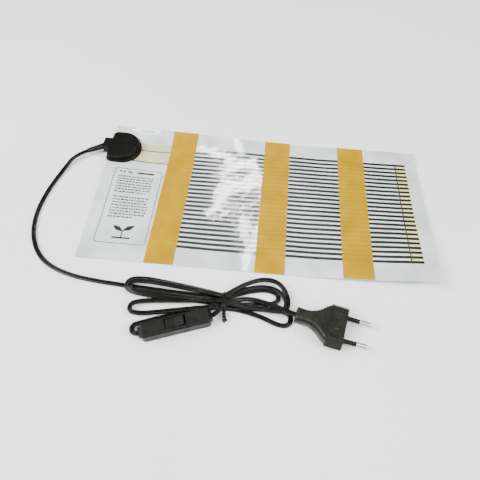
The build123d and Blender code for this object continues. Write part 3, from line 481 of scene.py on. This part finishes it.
def liner_film(name, dark, light):
    """Make a satin liner film, cloudy where it has lifted, with the ink lines faint below."""
    material, tree, shader = new_material(name, IOR=1.40, Specular_IOR_Level=0.15)
    place = object_place(tree)
    _, ramp = mottle(tree, shader, place, 0.022, dark, light, detail=6)
    split = add_node(tree, "ShaderNodeSeparateXYZ", {"Vector": place})
    phase = calculate(tree, "MULTIPLY", split.outputs["Y"], 2 * pi / TRACE_PITCH)
    wave = calculate(tree, "COSINE", calculate(tree, "ADD", phase, pi))
    lines = add_node(tree, "ShaderNodeMapRange", {"Value": wave, "From Min": 0.2, "From Max": 0.9,
                                                  "To Min": 0.0, "To Max": 0.22})
    across = calculate(tree, "ABSOLUTE", split.outputs["Y"])
    inside = calculate(tree, "LESS_THAN", across, first_line + 0.001)
    beyond = calculate(tree, "GREATER_THAN", split.outputs["X"], TRACE_SPAN[0])
    amount = calculate(tree, "MULTIPLY", lines.outputs[0], calculate(tree, "MULTIPLY", inside, beyond))
    tint = add_node(tree, "ShaderNodeMix", {"Factor": amount, "A": ramp.outputs["Color"],
                                            "B": linear("#7a5c00")}, data_type="RGBA")
    tree.links.new(tint.outputs["Result"], shader.inputs["Base Color"])
    roughness_patches(tree, shader, place, 0.012, 0.34, 0.50)
    waves = grain(tree, shader, place, 0.015, 0.00012)
    grain(tree, shader, place, 0.0009, 0.000012, under=waves)
    return material


# Siliconised film dyed a strong yellow, duller than the laminate beside it
yellow_liner = liner_film("yellow_siliconised_liner", "#a17d00", "#b58e00")
# Acrylic adhesive: shows only as a thin pale edge under the liner
adhesive, tree, shader = new_material("clear_acrylic_adhesive", Roughness=0.35, IOR=1.47)
mottle(tree, shader, object_place(tree), 0.003, "#cfc9ae", "#ded9c4")
grain(tree, shader, object_place(tree), 0.0008, 0.00001)

for side, centre in TAPE_CENTRES.items():
    liner_span = centre - TAPE_HALF, centre + TAPE_HALF
    tape_span = liner_span[0] + TAPE_INSET, liner_span[1] - TAPE_INSET
    tape_reach = HALF_WIDTH - 0.0004
    tape = add_sheet(
        f"tape_{side}", sheet_piece(tape_span, (-tape_reach, tape_reach), LAMINATE - INK_RELIEF, TAPE_TOP),
        adhesive,
    )
    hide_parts(f"adhesive_tape_{side}")
    liner = add_sheet(
        f"yellow_liner_{side}", sheet_piece(liner_span, (-HALF_WIDTH, HALF_WIDTH), TAPE_TOP, LINER_TOP),
        yellow_liner,
    )
    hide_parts(f"liner_{side}")

# ------------------------------------------------------------------ rating label
# Black ink printed straight on the film: a thin rounded frame, two paragraphs of fine print, a
# solid bar and a maker's mark. All of it is reduced to plain dashes and a seedling.

LABEL_LEFT, LABEL_RIGHT, LABEL_TOP, LABEL_BOTTOM = -0.1395, -0.0942, 0.0238, -0.0588
LABEL_CORNER, LABEL_LINE, CORNER_STEPS = 0.0035, 0.0006, 6
PRINT_HEIGHT, PRINT_GAP = 0.0013, 0.0007
# A softer, greyer black than the carbon ink
label_ink = gloss_laminate("black_label_ink", "#0d100c", "#1c201a", blotch=0.004)


def label_frame():
    """Make the frame: a rounded outline in a few short bars and four corner arcs."""
    bm = bmesh.new()
    corners = [
        (LABEL_RIGHT - LABEL_CORNER, LABEL_TOP - LABEL_CORNER, 0),
        (LABEL_LEFT + LABEL_CORNER, LABEL_TOP - LABEL_CORNER, 1),
        (LABEL_LEFT + LABEL_CORNER, LABEL_BOTTOM + LABEL_CORNER, 2),
        (LABEL_RIGHT - LABEL_CORNER, LABEL_BOTTOM + LABEL_CORNER, 3),
    ]
    rings = []
    for radius in (LABEL_CORNER, LABEL_CORNER - LABEL_LINE):
        ring = []
        for x, y, quarter in corners:
            for step in range(CORNER_STEPS + 1):
                angle = pi / 2 * (quarter + step / CORNER_STEPS)
                ring.append(bm.verts.new((x + radius * cos(angle), y + radius * sin(angle), 0)))
        rings.append([bm.edges.new(pair) for pair in zip(ring, ring[1:] + ring[:1])])
    bmesh.ops.bridge_loops(bm, edges=rings[0] + rings[1])
    long_edges = [edge for edge in bm.edges if edge.calc_length() > 0.02]
    bmesh.ops.subdivide_edges(bm, edges=long_edges, cuts=24)
    bmesh.ops.translate(bm, verts=bm.verts, vec=(0, 0, LAMINATE - INK_RELIEF))
    close_sheet(bm, 3 * INK_RELIEF)
    return bm


random.seed(7)
fine_print = []


def dashes(left, right, y):
    """Print a line of dashes of uneven length, as fine print looks from arm's length."""
    x = left
    while x < right - 0.001:
        length = min(random.uniform(0.0010, 0.0034), right - x)
        fine_print.append(ink((x, x + length), (y, y + PRINT_HEIGHT), layers=2, step=0.004))
        x += length + PRINT_GAP


for row in range(7):
    dashes(-0.1345, -0.1015 - 0.004 * (row == 6), 0.0136 - row * 0.0030)
for row in range(8):
    dashes(-0.1338, -0.1005 - 0.012 * (row == 7), -0.0100 - row * 0.0031)
fine_print.append(ink((-0.1177, -0.1020), (0.0188, 0.0208), layers=3))
for x in (-0.1346, -0.1313, -0.1270, -0.1247):
    fine_print.append(ink((x, x + 0.0019), (0.0188, 0.0206), layers=2, step=0.004))


def leaf(middle, reach, width, heading):
    """Cut one pointed leaf from ink."""
    bm = bmesh.new()
    bmesh.ops.create_circle(bm, cap_ends=True, radius=1, segments=20)
    for vertex in bm.verts:
        vertex.co.y *= 1 - 0.45 * abs(vertex.co.x)
    place = Matrix.Translation((*middle, LAMINATE - INK_RELIEF))
    shape = Matrix.Rotation(radians(heading), 4, "Z") @ Matrix.Diagonal((reach, width, 1, 1))
    bmesh.ops.transform(bm, verts=bm.verts, matrix=place @ shape)
    close_sheet(bm, 4 * INK_RELIEF)
    return bm


mark = [
    leaf((-0.1215, -0.0432), 0.0052, 0.0022, 150),
    leaf((-0.1118, -0.0424), 0.0054, 0.0023, 32),
    ink((-0.1172, -0.1162), (-0.0520, -0.0450), layers=3),
    ink((-0.1245, -0.1085), (-0.0536, -0.0520), layers=3),
]
add_sheet("label_print", join([label_frame(), *fine_print, *mark]), label_ink)

# ------------------------------------------------------------------ junction box
# A D-shaped box of two black ABS mouldings, screwed together through the film and filled with
# potting. Its dome has a stepped rim, and a short neck holds the flex's tapered boot.

# Moulded ABS: a fine spark-eroded texture, satin, greyer where it catches the light
box_abs = plastic(
    "spark_textured_black_abs", "#070805", "#0e0f0a", (0.40, 0.55), 0.0007, 0.000035, Specular_IOR_Level=0.14,
)
# The boot is softer and shinier than the box, like the flex that it holds
boot_pvc = plastic("moulded_boot_pvc", "#070805", "#11120c", (0.30, 0.42), 0.0008, 0.00002)


def coat(material, *names):
    """Give CAD nodes their material."""
    for name in names:
        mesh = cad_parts[name].data
        mesh.materials.clear()
        mesh.materials.append(material)


coat(box_abs, "junction_base", "junction_cover")
coat(boot_pvc, "cable_boot")

# ------------------------------------------------------------------ inline switch
# A slim two-part black ABS switch held by screws from below. Its rocker turns on a steel pin
# and see-saws a brass contact bar; the return core runs past it in a side lane.

# The shells have a fine satin texture, and the rocker is smoother
switch_abs = plastic(
    "moulded_black_abs", "#10120f", "#191b17", (0.36, 0.50), 0.0007, 0.00003, Specular_IOR_Level=0.18,
)
rocker_abs = plastic(
    "smooth_black_rocker_abs", "#0e100d", "#181a16", (0.42, 0.52), 0.0010, 0.00001, Specular_IOR_Level=0.12,
)
coat(switch_abs, "switch_base", "switch_cover", "cord_clamps")
coat(rocker_abs, "rocker")
coat(flex_pvc, "switch_cord_ends")

# ------------------------------------------------------------------ plug
# A flat two-pole plug, moulded in one shot of black PVC over its pins. The pins are nickel-plated
# brass, their inner halves in black sleeves, and toe in so that they grip the socket.

# The plug is a warm satin black, and the sleeves on its pins are shinier
plug_pvc = plastic("moulded_black_plug_pvc", "#10110b", "#1c1d15", (0.34, 0.48), 0.0008, 0.00003)
sleeve_plastic = plastic("black_sleeve_polyamide", "#060606", "#0e0e0c", (0.20, 0.32), 0.0006, 0.00001)
coat(plug_pvc, "plug_body", "pin_bridge")
coat(sleeve_plastic, "pin_sleeve_live", "pin_sleeve_neutral")

PLUG_FACE = Vector((0.0721, -0.1191, 0.00685))
PLUG_YAW = radians(-12.3)
PANEL_TOP = 0.0141
# Two low round bumps moulded on the plug's raised panel
bumps = bmesh.new()
for along, across, radius in ((-0.0066, 0.0046, 0.0013), (-0.0066, -0.0040, 0.0016)):
    place = PLUG_FACE.xy.to_3d() + Matrix.Rotation(PLUG_YAW, 3, "Z") @ Vector((along, across, PANEL_TOP))
    bmesh.ops.create_icosphere(
        bumps, subdivisions=3, radius=1,
        matrix=Matrix.Translation(place) @ Matrix.Diagonal((radius, radius, 0.0005, 1)),
    )
plug_bumps = add_mesh("plug_panel_bumps", bumps, "mat", plug_pvc)


def metal(name, dark, light, rough, scratch, **constants):
    """Make a bare or plated metal, with streaks of tone and fine scratches along the part."""
    material, tree, shader = new_material(name, Metallic=1.0, **constants)
    place = object_place(tree)
    mottle(tree, shader, place, 0.002, dark, light)
    roughness_patches(tree, shader, place, 0.0015, *rough)
    stretched = add_node(tree, "ShaderNodeMapping", {"Vector": place, "Scale": (0.15, 1, 1)})
    grain(tree, shader, stretched.outputs["Vector"], scratch, 0.000006)
    return material


# Pale soft nickel on the pins, warm brass on the contacts, and grey zinc on screws and the pin
nickel = metal("nickel_plated_brass", "#e3e1d8", "#fbfaf4", (0.30, 0.42), 0.0005)
brass = metal("rolled_brass", "#8a6d33", "#a98a4a", (0.26, 0.40), 0.0006)
zinc_steel = metal("zinc_plated_steel", "#9fa19f", "#c6c8c6", (0.25, 0.42), 0.0005)
coat(nickel, "plug_pin_live", "plug_pin_neutral")
coat(brass, "pin_crimps", "crimp_terminals", "contact_bar", "terminal_live_in", "terminal_live_out")
coat(zinc_steel, "junction_screws", "rocker_pin", "terminal_screws", "clamp_screws", "switch_screws")

# Core insulation and potting are inside, and keep simple mottled finishes
core_pvc = plastic("core_insulation_pvc", "#2b4f86", "#3a62a0", (0.35, 0.45), 0.0008, 0.00001)
potting_resin = plastic("poured_potting_resin", "#101010", "#1a1a19", (0.12, 0.25), 0.0030, 0.00005)
coat(core_pvc, "junction_cores", "live_cores", "neutral_core", "plug_cores")
coat(potting_resin, "junction_potting")

# ------------------------------------------------------------------ twist tie
# A black plastic-covered wire, wound once round the hank's waist and twisted on the near side,
# with both ends left sticking out.

TIE_HALF_SPAN = 0.0073
TIE_TOP, TIE_BOTTOM = 0.0084, 0.0003
tie_middle = WAIST_COLUMNS[1]
# Thin shiny plastic on the wire
tie_plastic = plastic("black_tie_plastic", "#070805", "#12130e", (0.25, 0.40), 0.0005, 0.00002)


def bent_wire(name, points, radius):
    """Bend a round wire along a smooth line and close its ends."""
    line = smooth_line(name, points)
    line.data.bevel_depth, line.data.bevel_resolution = radius, 3
    line.data.use_fill_caps = True
    bpy.context.view_layer.update()
    evaluated = line.evaluated_get(bpy.context.evaluated_depsgraph_get())
    bm = bmesh.new()
    bm.from_mesh(bpy.data.meshes.new_from_object(evaluated))
    bmesh.ops.remove_doubles(bm, verts=bm.verts, dist=1e-6)
    bmesh.ops.recalc_face_normals(bm, faces=bm.faces)
    bpy.data.objects.remove(line)
    return bm


loops = []
for shift in (-0.0007, 0.0007):
    x = WAIST_X + shift
    ring = [
        (x, tie_middle - TIE_HALF_SPAN, 0.0040), (x, tie_middle - TIE_HALF_SPAN, TIE_TOP),
        (x, tie_middle, TIE_TOP + 0.0004), (x, tie_middle + TIE_HALF_SPAN, TIE_TOP),
        (x, tie_middle + TIE_HALF_SPAN, TIE_BOTTOM + 0.0009), (x, tie_middle, TIE_BOTTOM + 0.0006),
        (x, tie_middle - TIE_HALF_SPAN, TIE_BOTTOM + 0.0009), (x, tie_middle - TIE_HALF_SPAN, 0.0040),
    ]
    loops.append(bent_wire(f"ring{shift}", ring, 0.0006))
for start in (0, pi):
    twist = []
    for step in range(15):
        along = step / 14
        angle = start + 2 * pi * 1.75 * along
        spread = 0.0010 + 0.0010 * max(0, along - 0.75) * 4
        twist.append((
            WAIST_X + 0.0006 + 0.0015 * along + spread * cos(angle),
            tie_middle - TIE_HALF_SPAN - 0.0003 - 0.0075 * along,
            0.0042 - 0.0022 * along + spread * sin(angle) * 0.8,
        ))
    loops.append(bent_wire(f"tail{start:.0f}", twist, 0.0008))
twist_wire = add_mesh("twist_wire", join(loops), "mat", tie_plastic)
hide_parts("twist_tie")

# ------------------------------------------------------------------ the two lengths of flex
# The first length ends in the switch. The second comes out of the switch's other end
# and is moulded into the plug.

# ------------------------------------------------------------------ table and light
# A plain white table between two wide soft lights. Two narrow lights overhead and behind
# make the broken glare that runs across the film between the first two strips.

FLOOR_SIZE = 12.0
# A matt white board with the faintest mottling
table_white, tree, shader = new_material("matt_white_table", Roughness=0.8)
mottle(tree, shader, object_place(tree), 0.30, "#f6f6f6", "#fbfbfb")
grain(tree, shader, object_place(tree), 0.002, 0.00002)
bm = bmesh.new()
bmesh.ops.create_grid(bm, x_segments=1, y_segments=1, size=FLOOR_SIZE)
floor_mesh = bpy.data.meshes.new("table")
bm.to_mesh(floor_mesh)
bm.free()
floor_mesh.materials.append(table_white)
table = bpy.data.objects.new("table", floor_mesh)
bpy.context.scene.collection.objects.link(table)

world = bpy.data.worlds.new("studio")
world.use_nodes = True
world.node_tree.nodes["Background"].inputs["Color"].default_value = linear("#f4f7fa")
world.node_tree.nodes["Background"].inputs["Strength"].default_value = 0.20
bpy.context.scene.world = world


def area_light(name, place, target, size, power, roll=0):
    """Hang a soft rectangular light at a place, aimed at a target and rolled about its aim."""
    light = bpy.data.objects.new(name, bpy.data.lights.new(name, "AREA"))
    light.data.shape = "RECTANGLE"
    light.data.size, light.data.size_y = size
    light.data.energy = power
    aim = (Vector(target) - Vector(place)).to_track_quat("-Z", "Y").to_matrix().to_4x4()
    light.matrix_world = Matrix.Translation(place) @ aim @ Matrix.Rotation(radians(roll), 4, "Z")
    bpy.context.scene.collection.objects.link(light)


area_light("left_key", (-1.15, -0.30, 1.20), (0, 0, 0), (0.9, 0.9), 44)
area_light("right_fill", (1.15, -0.35, 1.10), (0, 0, 0), (0.9, 0.9), 28)
area_light("front_strip", (0.00, -0.45, 1.20), (0, -0.10, 0), (1.40, 0.06), 11)
area_light("glare_slant", (-0.11, 0.80, 1.00), (-0.02, 0.04, 0), (0.30, 0.04), 2.8, roll=36)
area_light("glare_streak", (-0.03, 0.62, 1.00), (-0.01, 0, 0), (0.045, 0.26), 1.8)
